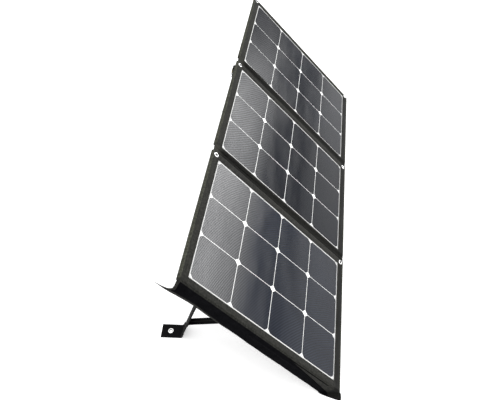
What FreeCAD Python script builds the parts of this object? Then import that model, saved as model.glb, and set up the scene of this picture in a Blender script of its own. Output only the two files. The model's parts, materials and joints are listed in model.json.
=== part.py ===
import FreeCAD, Part
import math
import os

# Portable folding solar panel: three padded panels in a row, each a 4 by 3 grid of
# square cells, hinged by cloth webs along their short sides.  It is shown standing on its
# lower long edge, leaning back on two strap-tied legs, with a flap at its near end.
#
# Panel frame, in which the flat pieces are drawn (mm):
#   x  along the row of panels, 0 at the middle panel's centre, near end negative
#   y  up the slope, 0 at the lower long edge
#   z  out of the front face, 0 at the front of the cloth border
# Row frame, in which the pieces are stored: X as x, +Y backwards, +Z up.

# ---- driving dimensions ------------------------------------------------------------
CELL = 125.5                # side of one square cell
CELL_PITCH = 127.0          # cell centre to cell centre
WAFER = 82.5                # radius of the round wafer that a cell is cut from
CELLS_UP = 4                # cells up the slope
CELLS_ALONG = 3             # cells along the row
WINDOW_UP = 513.0           # opening of the cloth border, up the slope
WINDOW_ALONG = 388.0        # opening of the cloth border, along the row
LAMINATE_LAP = 4.0          # laminate hidden under the border on each side

WIDTH = 564.0               # lower long edge to upper long edge
PANEL_PITCH = 440.4         # panel centre to panel centre
RIGID_BEFORE = 200.0        # panel centre to the web on its near side
RIGID_AFTER = 214.0         # panel centre to the web on its far side
NEAR_END = 214.5            # near panel's centre to its free end
FAR_END = 213.0             # far panel's centre to its free end
FOLD_AFTER = 228.0          # panel centre to the fold line on its far side

CLOTH = 1.0                 # one layer of cover cloth
FILM = 0.4                  # clear front film
CELL_THICK = 0.3
LINK_THICK = 0.15           # metal links under the cells
BACKSHEET = 1.35
BOARD = 3.0                 # stiff board inside the panel
BINDING = 3.0               # width of the bound edge
THICK = CLOTH + FILM + CELL_THICK + LINK_THICK + BACKSHEET + BOARD + CLOTH

LEAN = 42.0                 # front face's angle from the vertical
FAR_FOLD_UP = 1.5           # far fold axis in front of the front face
NEAR_FOLD_UP = 9.0          # near fold axis, high enough to close over the far panel
WEB_THICK = 2.0

EYELET_HOLE = 4.5           # radius of the open hole
EYELET_BARREL = 5.5
EYELET_FLANGE = 9.0
FLANGE_THICK = 1.0
EYELET_ALONG = 204.0        # panel centre to the eyelets
EYELET_INSET = 14.0         # eyelet centre from the long edge

FLAP_DEPTH = 42.0
FLAP_THICK = 2.5
FLAP_PAST = 23.0            # flap standing past the upper long edge
FLAP_HEM = 5.0              # cloth left bare along the flap's free edge
FLAP_CLEAR = 1.0            # flap's root below the front face, and its end off the ground
STRIP_THICK = 1.2
STRIP_LOW_END = 44.0        # hook-and-loop strip's lower end from the lower long edge
FLAP_GAP = 1.25             # flap to the panel's end

LEG_ALONG = 83.0            # leg centre line from its panel's centre
LEG_WIDTH = 42.0
LEG_THICK = 4.0
LEG_PIVOT_UP = 462.0        # leg pivot from the lower long edge
LEG_PIVOT_BACK = 10.8       # leg pivot behind the front face
FOOT_OUT = 439.0            # leg's foot from the lower long edge, along the ground
TAB_LENGTH = 57.0
TAB_THICK = 2.4
TAB_START = 4.5             # foot tab from the foot's pivot
TAB_EYELET = 34.6           # foot eyelet from the foot's pivot
FOOT_YAW = 4.0              # foot tab's outer end turned away from the row's middle
STRAP_WIDTH = 20.0
STRAP_THICK = 1.6
STRAP_UP_LEG = 57.0         # strap meets the leg this far above the foot
STRAP_SEWN = (156.0, 187.0) # stretch of the panel's back that the strap is sewn to

POUCH_ALONG = 260.0
POUCH_UP = 180.0
POUCH_LOW = 150.0           # pouch's lower side from the lower long edge
POUCH_DEPTH = 18.0
POUCH_CLOTH = 1.2
ZIP_LENGTH = 220.0
ZIP_WIDTH = 16.0
ZIP_DROP = 24.0             # zip's centre line below the pouch's upper side
PULL_LENGTH = 24.0

HANG_TAB_ALONG = 183.0      # hanging tab's centre, beside the upper eyelet
HANG_TAB_WIDTH = 21.0
HANG_TAB_LENGTH = 22.0
HANG_TAB_EYELET = 13.0      # eyelet from the hanging tab's pivot
HANG_TAB_HOLE = 3.5         # radius of its open hole
HANG_TAB_BARREL = 4.4
HANG_TAB_FLANGE = 7.5
HANG_PATCH = (124.0, 193.5) # cloth patch that the hanging tab is sewn to

# ---- worked out from them ----------------------------------------------------------
CENTRES = {"near": -PANEL_PITCH, "mid": 0.0, "far": PANEL_PITCH}
NEAR_FOLD_X = CENTRES["near"] + FOLD_AFTER
FAR_FOLD_X = CENTRES["mid"] + FOLD_AFTER
SPANS = {
    "near": (CENTRES["near"] - NEAR_END, CENTRES["near"] + RIGID_AFTER),
    "mid": (CENTRES["mid"] - RIGID_BEFORE, CENTRES["mid"] + RIGID_AFTER),
    "far": (CENTRES["far"] - RIGID_BEFORE, CENTRES["far"] + FAR_END),
}
FILM_TOP = -CLOTH
CELL_TOP = FILM_TOP - FILM
LINK_TOP = CELL_TOP - CELL_THICK
SHEET_TOP = LINK_TOP - LINK_THICK
BOARD_TOP = SHEET_TOP - BACKSHEET
COVER_TOP = BOARD_TOP - BOARD
BACK = -THICK
SLOPE = math.radians(LEAN)


def slope_to_row(y, z):
    """Row Y and Z of a point of the panel frame, before the row is centred."""
    back = y * math.sin(SLOPE) - z * math.cos(SLOPE)
    up = y * math.cos(SLOPE) + z * math.sin(SLOPE)
    return back, up + THICK * math.sin(SLOPE)


def leaned(shape):
    """Turns a piece drawn in the panel frame to the standing slope."""
    turned = shape.copy()
    turned.rotate(FreeCAD.Vector(0, 0, 0), FreeCAD.Vector(1, 0, 0), 90.0 - LEAN)
    turned.translate(FreeCAD.Vector(0, 0, THICK * math.sin(SLOPE)))
    return turned


LEG_PIVOT = slope_to_row(LEG_PIVOT_UP, -LEG_PIVOT_BACK)
FOOT = (FOOT_OUT, LEG_THICK / 2)
LEG_LENGTH = math.hypot(FOOT[0] - LEG_PIVOT[0], FOOT[1] - LEG_PIVOT[1])
LEG_ANGLE = math.degrees(math.atan2(FOOT[1] - LEG_PIVOT[1], FOOT[0] - LEG_PIVOT[0]))
LEG_STOW = LEG_ANGLE + 90.0 + LEAN          # turn that lays the leg along the back
FLAP_AXIS_X = SPANS["near"][0] - FLAP_GAP - FLAP_THICK / 2
HANG_PIVOT = slope_to_row(WIDTH + 2.6, -10.6)


def block(x, y, z):
    """A box from three (low, high) pairs."""
    corner = FreeCAD.Vector(x[0], y[0], z[0])
    return Part.makeBox(x[1] - x[0], y[1] - y[0], z[1] - z[0], corner)


def around(centre, size):
    return (centre - size / 2, centre + size / 2)


def rod(centre, axis, radius, length):
    """A cylinder of that length, centred on a point."""
    direction = FreeCAD.Vector(*axis)
    start = FreeCAD.Vector(*centre) - direction * (length / 2)
    return Part.makeCylinder(radius, length, start, direction)


def prism(points, along):
    """A closed outline in the row's Y and Z, run along X between two places."""
    outline = [FreeCAD.Vector(along[0], y, z) for y, z in points]
    face = Part.Face(Part.makePolygon(outline + outline[:1]))
    return face.extrude(FreeCAD.Vector(along[1] - along[0], 0, 0))


def band(path, thickness, along):
    """A strap of one thickness that follows a path of Y and Z points."""
    left = []
    right = []
    for i, point in enumerate(path):
        before = path[max(i - 1, 0)]
        after = path[min(i + 1, len(path) - 1)]
        run = math.hypot(after[0] - before[0], after[1] - before[1])
        ny = -(after[1] - before[1]) / run * thickness / 2
        nz = (after[0] - before[0]) / run * thickness / 2
        left.append((point[0] + ny, point[1] + nz))
        right.append((point[0] - ny, point[1] - nz))
    return prism(left + right[::-1], along)


# ---- the panels ----------------------------------------------------------------------
def inner_span(panel):
    """The panel's length inside its bound edges."""
    low, high = SPANS[panel]
    if panel == "near":
        low += BINDING
    if panel == "far":
        high -= BINDING
    return low, high


def window(panel, grow):
    """Length and width of the border's opening, grown on every side."""
    along = around(CENTRES[panel], WINDOW_ALONG + 2 * grow)
    up = around(WIDTH / 2, WINDOW_UP + 2 * grow)
    return along, up


def eyelet_places(panel):
    x = CENTRES[panel] + EYELET_ALONG
    return [(x, EYELET_INSET), (x, WIDTH - EYELET_INSET)]


def eyelet_holes(panel, radius):
    holes = [rod((x, y, BACK / 2), (0, 0, 1), radius, 4 * THICK) for x, y in eyelet_places(panel)]
    return Part.makeCompound(holes)


def layer(panel, top, bottom):
    """One full layer of a panel, with holes for the eyelets' barrels."""
    slab = block(inner_span(panel), (BINDING, WIDTH - BINDING), (bottom, top))
    return slab.cut(eyelet_holes(panel, EYELET_BARREL))


def front_frame(panel):
    """Cloth border around the cells, stepped to lap over the laminate."""
    frame = layer(panel, 0.0, BOARD_TOP)
    opening = block(*window(panel, 0.0), (BOARD_TOP, 0.0))
    seat = block(*window(panel, LAMINATE_LAP), (BOARD_TOP, FILM_TOP))
    return frame.cut(opening).cut(seat)


def edge_binding(panel):
    """Cloth tape around the panel's free edges."""
    low, high = SPANS[panel]
    outer = block((low, high), (0.0, WIDTH), (BACK, 0.0))
    inside_low, inside_high = inner_span(panel)
    inside = block((inside_low, inside_high), (BINDING, WIDTH - BINDING), (BACK, 0.0))
    return outer.cut(inside)


def cell_centres(panel):
    for i in range(CELLS_ALONG):
        for j in range(CELLS_UP):
            x = CENTRES[panel] + (i - (CELLS_ALONG - 1) / 2) * CELL_PITCH
            y = WIDTH / 2 + (j - (CELLS_UP - 1) / 2) * CELL_PITCH
            yield x, y


def cells(panel):
    """Square cells whose corners are arcs of the round wafer."""
    made = []
    for x, y in cell_centres(panel):
        square = block(around(x, CELL), around(y, CELL), (LINK_TOP, CELL_TOP))
        wafer = rod((x, y, LINK_TOP), (0, 0, 1), WAFER, 4.0)
        made.append(square.common(wafer))
    return Part.makeCompound(made)


def cell_links(panel):
    """Metal links that join each cell to the next one up the slope."""
    made = []
    for x, y in cell_centres(panel):
        if y + CELL_PITCH > WIDTH / 2 + WINDOW_UP / 2:
            continue
        for offset in (-CELL / 3, 0.0, CELL / 3):
            across = around(x + offset, 8.0)
            up = around(y + CELL_PITCH / 2, 14.0)
            made.append(block(across, up, (SHEET_TOP, LINK_TOP)))
    return Part.makeCompound(made)


def laminate_layer(panel, top, bottom):
    return block(*window(panel, LAMINATE_LAP), (bottom, top))


def encapsulant(panel):
    """Clear resin that fills the space around the cells and their links."""
    resin = laminate_layer(panel, CELL_TOP, SHEET_TOP)
    return resin.cut(cells(panel)).cut(cell_links(panel))


def ring_of(x, y, top, bottom, hole, barrel, flange):
    """A barrel through the cloth with a flange on each face, and an open hole."""
    height = top - bottom + 2 * FLANGE_THICK
    middle = (top + bottom) / 2
    body = rod((x, y, middle), (0, 0, 1), barrel, height)
    for z in (top + FLANGE_THICK / 2, bottom - FLANGE_THICK / 2):
        body = body.fuse(rod((x, y, z), (0, 0, 1), flange, FLANGE_THICK))
    body = body.removeSplitter()
    return body.cut(rod((x, y, middle), (0, 0, 1), hole, 2 * height))


def eyelet(x, y, top, bottom):
    return ring_of(x, y, top, bottom, EYELET_HOLE, EYELET_BARREL, EYELET_FLANGE)


def panel_eyelets(panel):
    return Part.makeCompound([eyelet(x, y, 0.0, BACK) for x, y in eyelet_places(panel)])


def fold_web(low, high):
    """Cloth web between two panels, short of both long edges."""
    return block((low, high), (BINDING, WIDTH - BINDING), (-WEB_THICK, 0.0))


# ---- the flap at the near end --------------------------------------------------------
def above_ground(shape):
    """Cuts away what the ground would be in the way of."""
    ground = block((-2 * PANEL_PITCH, 0.0), (-WIDTH, WIDTH), (-WIDTH, FLAP_CLEAR))
    return leaned(shape).cut(ground)


def flap_cloth():
    """Flap hanging behind the panel's end, its lower corner cut away by the ground."""
    depth = (-FLAP_DEPTH, -FLAP_CLEAR)
    flap = block(around(FLAP_AXIS_X, FLAP_THICK), (0.0, WIDTH + FLAP_PAST), depth)
    return above_ground(flap)


def flap_strip():
    """Black hook-and-loop strip along the flap's outer face, inside its hem."""
    face = FLAP_AXIS_X - FLAP_THICK / 2
    along = (STRIP_LOW_END, WIDTH)
    depth = (-(FLAP_DEPTH - FLAP_HEM), -3.0 * FLAP_CLEAR)
    return above_ground(block((face - STRIP_THICK, face), along, depth))


# ---- the legs ------------------------------------------------------------------------
def on_leg(shape, x):
    """Places a piece drawn along +Y from the leg's pivot onto the standing leg."""
    placed = shape.copy()
    placed.rotate(FreeCAD.Vector(0, 0, 0), FreeCAD.Vector(1, 0, 0), LEG_ANGLE)
    placed.translate(FreeCAD.Vector(x, LEG_PIVOT[0], LEG_PIVOT[1]))
    return placed


def leg_core(width, thickness, margin):
    return block(
        around(0.0, width),
        (margin, LEG_LENGTH - margin),
        around(0.0, thickness),
    )


def leg_cover(x):
    """Cloth sleeve with round ends, hollow for the stiff strip."""
    sleeve = block(around(0.0, LEG_WIDTH), (0.0, LEG_LENGTH), around(0.0, LEG_THICK))
    for y in (0.0, LEG_LENGTH):
        end = rod((0.0, y, 0.0), (1, 0, 0), LEG_THICK / 2, LEG_WIDTH)
        sleeve = sleeve.fuse(end)
    sleeve = sleeve.removeSplitter()
    return on_leg(sleeve.cut(leg_core(LEG_WIDTH - 6.0, LEG_THICK / 2, 4.0)), x)


def leg_strip(x):
    """Stiff strip inside the sleeve."""
    return on_leg(leg_core(LEG_WIDTH - 6.0, LEG_THICK / 2, 4.0), x)


def leg_patch(x):
    """Cloth patch sewn to the panel's back, above and below the leg's pivot."""
    up = (LEG_PIVOT_UP - 16.0, LEG_PIVOT_UP + 34.0)
    return leaned(block(around(x, LEG_WIDTH + 16.0), up, (BACK - 1.2, BACK)))


def leg_tape(x):
    """Cloth tape from the patch to the leg's upper end; it bends as the leg turns."""
    up = (LEG_PIVOT_UP + LEG_THICK / 2 + 0.4, LEG_PIVOT_UP + 22.0)
    return leaned(block(around(x, LEG_WIDTH - 4.0), up, (BACK - 3.2, BACK - 1.2)))


def foot_turned(shape, x):
    """Turns a foot piece about the foot, its outer end away from the row's middle."""
    placed = shape.copy()
    turn = math.copysign(FOOT_YAW, -x)
    placed.rotate(FreeCAD.Vector(x, FOOT[0], 0), FreeCAD.Vector(0, 0, 1), turn)
    return placed


def peg_place(x):
    """Where the foot eyelet's centre is, once its tab is turned."""
    turn = math.radians(math.copysign(FOOT_YAW, -x))
    return x - TAB_EYELET * math.sin(turn), FOOT[0] + TAB_EYELET * math.cos(turn)


def foot_tab(x):
    """Cloth tab flat on the ground behind the foot, with a seat for its eyelet."""
    out = (FOOT[0] + TAB_START, FOOT[0] + TAB_START + TAB_LENGTH)
    tab = block(around(x, LEG_WIDTH), out, (0.0, TAB_THICK))
    centre = FOOT[0] + TAB_EYELET
    tab = tab.cut(rod((x, centre, 0.0), (0, 0, 1), EYELET_BARREL, 4 * TAB_THICK))
    tab = tab.cut(rod((x, centre, 0.0), (0, 0, 1), EYELET_FLANGE, 2 * FLANGE_THICK))
    return foot_turned(tab, x)


def foot_eyelet(x):
    ring = eyelet(x, FOOT[0] + TAB_EYELET, TAB_THICK, FLANGE_THICK)
    return foot_turned(ring, x)


def tether_path():
    """Straight from the panel's back to the leg above its foot."""
    leaves = slope_to_row(STRAP_SEWN[1], BACK - STRAP_THICK / 2)
    direction = math.radians(LEG_ANGLE)
    meets = (
        FOOT[0] - STRAP_UP_LEG * math.cos(direction) - LEG_THICK / 2 - 1.6,
        FOOT[1] - STRAP_UP_LEG * math.sin(direction),
    )
    return [leaves, meets]


def tether_strap(x):
    """Webbing with one end sewn flat to the panel's back, below where it leaves."""
    along = around(x, STRAP_WIDTH)
    sewn = leaned(block(along, STRAP_SEWN, (BACK - STRAP_THICK, BACK)))
    return band(tether_path(), STRAP_THICK, along).fuse(sewn).removeSplitter()


# ---- the pouch and the junction box in it ------------------------------------------------
POUCH_MIDDLE = POUCH_LOW + POUCH_UP / 2
BOX_SIZE = (90.0, 60.0, 14.0)
BOX_WALL = 1.8


def pouch():
    """Cloth pouch on the middle panel's back, closed by its zip."""
    bottom = BACK - POUCH_DEPTH
    outer = block(around(0.0, POUCH_ALONG), around(POUCH_MIDDLE, POUCH_UP), (bottom, BACK))
    edges = [e for e in outer.Edges if e.CenterOfMass.z < BACK - 1.0]
    outer = outer.makeFillet(5.0, edges)
    inner = block(
        around(0.0, POUCH_ALONG - 14.0),
        around(POUCH_MIDDLE, POUCH_UP - 14.0),
        (bottom + POUCH_CLOTH, BACK),
    )
    return outer.cut(inner)


def zip_tape():
    """The two tapes and the teeth between them, as one strip."""
    top = BACK - POUCH_DEPTH
    y = POUCH_LOW + POUCH_UP - ZIP_DROP
    tape = block(around(0.0, ZIP_LENGTH), around(y, ZIP_WIDTH), (top - 0.8, top))
    teeth = block(around(0.0, ZIP_LENGTH - 6.0), around(y, 4.0), (top - 1.6, top - 0.8))
    return tape.fuse(teeth).removeSplitter()


SLIDER_X = -ZIP_LENGTH / 2 + 12.0
SLIDER_TOP = BACK - POUCH_DEPTH - 1.6
SLIDER_Y = POUCH_LOW + POUCH_UP - ZIP_DROP
PULL_PIVOT = slope_to_row(SLIDER_Y, SLIDER_TOP - 5.6)


def zip_slider():
    """Slider body with a bridge that holds the pull."""
    plate = block(around(SLIDER_X, 11.0), around(SLIDER_Y, 8.0), (SLIDER_TOP - 2.6, SLIDER_TOP - 0.2))
    for side in (-3.2, 3.2):
        lug = block(
            around(SLIDER_X + side, 1.4),
            around(SLIDER_Y, 4.0),
            (SLIDER_TOP - 7.2, SLIDER_TOP - 2.6),
        )
        plate = plate.fuse(lug)
    pin = rod((SLIDER_X, SLIDER_Y, SLIDER_TOP - 5.6), (1, 0, 0), 0.8, 7.8)
    return plate.fuse(pin).removeSplitter()


def zip_pull():
    """Pull tab that hangs from the slider's pin."""
    y, z = PULL_PIVOT
    ring = rod((SLIDER_X, y, z), (1, 0, 0), 1.8, 4.4)
    tab = block(around(SLIDER_X, 4.4), around(y, 1.6), (z - PULL_LENGTH, z))
    wide = block(around(SLIDER_X, 7.0), around(y, 1.6), (z - PULL_LENGTH, z - 9.0))
    body = ring.fuse(tab).fuse(wide).removeSplitter()
    return body.cut(rod((SLIDER_X, y, z), (1, 0, 0), 0.86, 12.0))


def junction_floor():
    return BACK - BOX_SIZE[2] + 2.0


def junction_box():
    """Open box glued to the panel's back, with a port in one end for the output lead."""
    z = (junction_floor(), BACK)
    outer = block(around(0.0, BOX_SIZE[0]), around(POUCH_MIDDLE, BOX_SIZE[1]), z)
    inner = block(
        around(0.0, BOX_SIZE[0] - 2 * BOX_WALL),
        around(POUCH_MIDDLE, BOX_SIZE[1] - 2 * BOX_WALL),
        (junction_floor(), BACK - BOX_WALL),
    )
    body = outer.cut(inner)
    middle = (junction_floor() + BACK) / 2
    depth = BACK - junction_floor()
    for x, y in screw_places():
        body = body.fuse(rod((x, y, middle), (0, 0, 1), 3.2, depth))
    for x, y in screw_places():
        body = body.cut(rod((x, y, junction_floor()), (0, 0, 1), 1.3, 12.0))
    port = rod((BOX_SIZE[0] / 2, POUCH_MIDDLE, middle), (1, 0, 0), 4.0, 8.0)
    return body.cut(port).removeSplitter()


def screw_places():
    dx = BOX_SIZE[0] / 2 - BOX_WALL - 2.6
    dy = BOX_SIZE[1] / 2 - BOX_WALL - 2.6
    return [(sx * dx, POUCH_MIDDLE + sy * dy) for sx in (-1, 1) for sy in (-1, 1)]


def junction_lid():
    z = (junction_floor() - 2.0, junction_floor())
    lid = block(around(0.0, BOX_SIZE[0]), around(POUCH_MIDDLE, BOX_SIZE[1]), z)
    for x, y in screw_places():
        lid = lid.cut(rod((x, y, junction_floor()), (0, 0, 1), 1.3, 12.0))
    return lid


def lid_screws():
    made = []
    for x, y in screw_places():
        head = rod((x, y, junction_floor() - 2.6), (0, 0, 1), 2.4, 1.2)
        shank = rod((x, y, junction_floor() + 0.9), (0, 0, 1), 1.3, 5.8)
        made.append(head.fuse(shank).removeSplitter())
    return Part.makeCompound(made)


def diodes():
    """Bypass diodes, one for each string of cells."""
    made = []
    for x in (-20.0, 0.0, 20.0):
        z = (BACK - BOX_WALL - 4.5, BACK - BOX_WALL)
        made.append(block(around(x, 10.0), around(POUCH_MIDDLE, 15.0), z))
    return Part.makeCompound(made)


def cable_gland():
    """Threaded gland in the box's port, for the output lead."""
    z = (junction_floor() + BACK) / 2
    start = BOX_SIZE[0] / 2
    body = rod((start, POUCH_MIDDLE, z), (1, 0, 0), 4.0, 2 * BOX_WALL)
    nut = rod((start + BOX_WALL + 3.5, POUCH_MIDDLE, z), (1, 0, 0), 5.2, 7.0)
    nut.translate(FreeCAD.Vector(-BOX_WALL, 0, 0))
    body = body.fuse(nut).removeSplitter()
    return body.cut(rod((start, POUCH_MIDDLE, z), (1, 0, 0), 2.6, 60.0))


# ---- the hanging tab on the upper edge ---------------------------------------------------
def hang_patch():
    """Cloth sewn along the back of the upper edge, reaching just past it."""
    up = (WIDTH - 22.0, WIDTH + 1.4)
    return leaned(block(HANG_PATCH, up, (BACK - 1.2, BACK)))


def hang_tab():
    """Stiff cloth tab that hangs straight down from the upper edge."""
    y, z = HANG_PIVOT
    tab = block(
        around(HANG_TAB_ALONG, HANG_TAB_WIDTH),
        around(y, TAB_THICK - 0.4),
        (z - HANG_TAB_LENGTH, z),
    )
    hole = rod((HANG_TAB_ALONG, y, z - HANG_TAB_EYELET), (0, 1, 0), HANG_TAB_BARREL, 20.0)
    return tab.cut(hole)


def hang_eyelet():
    y, z = HANG_PIVOT
    half = (TAB_THICK - 0.4) / 2
    ring = ring_of(0.0, 0.0, half, -half, HANG_TAB_HOLE, HANG_TAB_BARREL, HANG_TAB_FLANGE)
    ring.rotate(FreeCAD.Vector(0, 0, 0), FreeCAD.Vector(1, 0, 0), 90.0)
    ring.translate(FreeCAD.Vector(HANG_TAB_ALONG, y, z - HANG_TAB_EYELET))
    return ring


# ---- everything, by node -----------------------------------------------------------------
def panel_nodes(panel):
    drawn = {
        "front_frame": front_frame(panel),
        "back_cover": layer(panel, COVER_TOP, BACK),
        "edge_binding": edge_binding(panel),
        "core_board": layer(panel, BOARD_TOP, COVER_TOP),
        "backsheet": laminate_layer(panel, SHEET_TOP, BOARD_TOP),
        "encapsulant": encapsulant(panel),
        "cells": cells(panel),
        "cell_links": cell_links(panel),
        "front_film": laminate_layer(panel, FILM_TOP, CELL_TOP),
        "eyelets": panel_eyelets(panel),
    }
    return {f"{panel}_{name}": leaned(shape) for name, shape in drawn.items()}


def leg_nodes(panel, x):
    return {
        f"{panel}_leg_cover": leg_cover(x),
        f"{panel}_leg_strip": leg_strip(x),
        f"{panel}_leg_patch": leg_patch(x),
        f"{panel}_leg_tape": leg_tape(x),
        f"{panel}_foot_tab": foot_tab(x),
        f"{panel}_foot_eyelet": foot_eyelet(x),
        f"{panel}_tether_strap": tether_strap(x),
    }


def pouch_nodes():
    drawn = {
        "cable_pouch": pouch(),
        "zip_tape": zip_tape(),
        "zip_slider": zip_slider(),
        "junction_box": junction_box(),
        "junction_lid": junction_lid(),
        "lid_screws": lid_screws(),
        "bypass_diodes": diodes(),
        "cable_gland": cable_gland(),
    }
    nodes = {name: leaned(shape) for name, shape in drawn.items()}
    nodes["zip_pull"] = zip_pull()
    return nodes


def all_nodes():
    nodes = {}
    for panel in CENTRES:
        nodes.update(panel_nodes(panel))
    nodes["near_fold_web"] = leaned(fold_web(SPANS["near"][1], SPANS["mid"][0]))
    nodes["far_fold_web"] = leaned(fold_web(SPANS["mid"][1], SPANS["far"][0]))
    nodes["flap_cloth"] = flap_cloth()
    nodes["flap_strip"] = flap_strip()
    nodes.update(leg_nodes("near", CENTRES["near"] - LEG_ALONG))
    nodes.update(leg_nodes("far", CENTRES["far"] + LEG_ALONG))
    nodes.update(pouch_nodes())
    nodes["hang_patch"] = hang_patch()
    nodes["hang_tab"] = hang_tab()
    nodes["hang_eyelet"] = hang_eyelet()
    return nodes


def centred(nodes):
    """Puts the origin under the middle of the whole object, on the ground."""
    box = Part.makeCompound(list(nodes.values())).BoundBox
    shift = FreeCAD.Vector(-box.Center.x, -box.Center.y, -box.ZMin)
    for shape in nodes.values():
        shape.translate(shift)
    return shift


NODES = all_nodes()
SHIFT = centred(NODES)
os.makedirs("parts", exist_ok=True)
for node, shape in NODES.items():
    shape.exportStep(f"parts/{node}.step")
print(len(NODES), "nodes, shifted by", SHIFT)
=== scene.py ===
import json
import math

import bmesh
import bpy
from mathutils import Matrix, Vector, noise


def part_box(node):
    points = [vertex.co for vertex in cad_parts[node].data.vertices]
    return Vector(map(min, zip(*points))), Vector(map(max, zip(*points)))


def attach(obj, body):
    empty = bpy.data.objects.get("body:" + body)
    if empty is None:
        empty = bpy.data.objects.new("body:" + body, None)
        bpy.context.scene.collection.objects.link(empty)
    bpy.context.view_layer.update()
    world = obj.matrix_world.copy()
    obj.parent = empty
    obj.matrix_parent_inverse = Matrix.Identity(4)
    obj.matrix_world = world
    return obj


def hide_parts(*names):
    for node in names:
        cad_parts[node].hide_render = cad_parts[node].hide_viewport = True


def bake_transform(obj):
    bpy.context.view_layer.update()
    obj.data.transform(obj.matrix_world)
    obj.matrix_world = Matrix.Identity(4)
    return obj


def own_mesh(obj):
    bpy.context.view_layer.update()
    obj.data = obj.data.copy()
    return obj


# Looks of the folding solar panel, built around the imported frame.
# Flat pieces are drawn in the panel frame, in millimetres, as in the CAD source:
#   x along the row from the middle panel's centre, y up the slope from the lower edge,
#   z out of the front face.  at() turns such a point into the row frame, in metres.

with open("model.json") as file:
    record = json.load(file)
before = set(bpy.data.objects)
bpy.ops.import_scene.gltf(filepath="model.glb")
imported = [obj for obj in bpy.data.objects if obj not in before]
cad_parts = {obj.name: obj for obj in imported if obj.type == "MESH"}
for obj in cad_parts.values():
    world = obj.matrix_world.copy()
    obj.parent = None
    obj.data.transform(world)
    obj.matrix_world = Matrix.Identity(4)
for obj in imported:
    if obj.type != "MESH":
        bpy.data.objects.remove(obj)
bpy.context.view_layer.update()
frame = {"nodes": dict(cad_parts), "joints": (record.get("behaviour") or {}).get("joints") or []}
MM = 0.001


# ---- the panel frame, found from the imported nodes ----
def joint(name):
    return next(j for j in frame["joints"] if j["name"] == name)


ALONG = Vector((1, 0, 0))
UP_SLOPE = Vector(joint("near_fold")["axis"]).normalized()
OUTWARD = ALONG.cross(UP_SLOPE)


def node_span(node, direction):
    """Lowest and highest place of a node's points along a direction, in metres."""
    places = [v.co.dot(direction) for v in frame["nodes"][node].data.vertices]
    return min(places), max(places)


def node_middle(node, direction):
    return sum(node_span(node, direction)) / 2


LOW_EDGE, HIGH_EDGE = node_span("mid_edge_binding", UP_SLOPE)
BACK_FACE, FRONT_FACE = node_span("mid_edge_binding", OUTWARD)
ORIGIN = (
    ALONG * node_middle("mid_cells", ALONG) + UP_SLOPE * LOW_EDGE + OUTWARD * FRONT_FACE
)
WIDTH = (HIGH_EDGE - LOW_EDGE) / MM
THICK = (FRONT_FACE - BACK_FACE) / MM
BACK = -THICK
SLOPE_TURN = math.atan2(UP_SLOPE.z, UP_SLOPE.y)


def at(x, y, z):
    return ORIGIN + (ALONG * x + UP_SLOPE * y + OUTWARD * z) * MM


def flat_span(node, direction, start):
    """A node's extent along one direction of the panel frame."""
    low, high = node_span(node, direction)
    return (low - start) / MM, (high - start) / MM


def flat_x(node):
    return flat_span(node, ALONG, ORIGIN.dot(ALONG))


def flat_y(node):
    return flat_span(node, UP_SLOPE, LOW_EDGE)


def flat_z(node):
    return flat_span(node, OUTWARD, FRONT_FACE)


PANELS = ("near", "mid", "far")
SPAN = {p: flat_x(f"{p}_edge_binding") for p in PANELS}
CENTRE = {p: sum(flat_x(f"{p}_cells")) / 2 for p in PANELS}
BODY = {p: f"{p}_panel" for p in PANELS}
FILM_Z = flat_z("mid_front_film")[1]
WINDOW_ALONG = 388.0
WINDOW_UP = 513.0
CELL = 125.5
CELL_PITCH = 127.0
WAFER_RADIUS = 82.5
FOLD_X = {fold: sum(flat_x(f"{fold}_fold_web")) / 2 for fold in ("near", "far")}
EYELET_Y = (14.0, WIDTH - 14.0)
EYELET_ALONG = 204.0
EYELET_HOLE = 5.6
EYELET_REACH = 40.0
SEAM_INSET = 4.5
BORDER_THICK = 0.7
WEB_THICK = 1.2
BACK_THICK = 0.6
FLAP_THICK = 1.0
PATCH_THICK = 0.7
POUCH_THICK = 0.9
FOOT_THICK = 2.0
STRAP_THICK = 1.5


# ---- mesh helpers ----
def new_object(name, data):
    obj = bpy.data.objects.new(name, data)
    bpy.context.scene.collection.objects.link(obj)
    return obj


def mesh_from(bm, name):
    """A mesh of what the bmesh holds; the bmesh is freed."""
    mesh = bpy.data.meshes.new(name)
    bm.to_mesh(mesh)
    bm.free()
    return mesh


def mesh_object(name, points, faces, material, smooth=True):
    mesh = bpy.data.meshes.new(name)
    mesh.from_pydata([tuple(p) for p in points], [], faces)
    mesh.validate()
    bm = bmesh.new()
    bm.from_mesh(mesh)
    bmesh.ops.recalc_face_normals(bm, faces=bm.faces)
    bm.to_mesh(mesh)
    bm.free()
    if smooth:
        mesh.shade_smooth()
    mesh.materials.append(material)
    return new_object(name, mesh)


def thick_sheet(name, points, faces, thickness, material, out=None):
    """A closed cloth of one thickness below the given surface."""
    bm = bmesh.new()
    made = [bm.verts.new(p) for p in points]
    for face in faces:
        bm.faces.new([made[i] for i in face])
    loose = [v for v in bm.verts if not v.link_faces]
    bmesh.ops.delete(bm, geom=loose, context="VERTS")
    bm.normal_update()
    if out is not None:
        total = sum((f.normal * f.calc_area() for f in bm.faces), Vector())
        if total.dot(out) < 0:
            bmesh.ops.reverse_faces(bm, faces=bm.faces)
    bm.normal_update()
    under = {v: bm.verts.new(v.co - v.normal * thickness * MM) for v in list(bm.verts)}
    for face in list(bm.faces):
        bm.faces.new([under[v] for v in reversed(face.verts)])
    for edge in [e for e in bm.edges if len(e.link_faces) == 1 and e.verts[0] in under]:
        a, b = edge.verts
        bm.faces.new([a, b, under[b], under[a]])
    bmesh.ops.recalc_face_normals(bm, faces=bm.faces)
    mesh = mesh_from(bm, name)
    mesh.shade_smooth()
    mesh.materials.append(material)
    return new_object(name, mesh)


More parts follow.
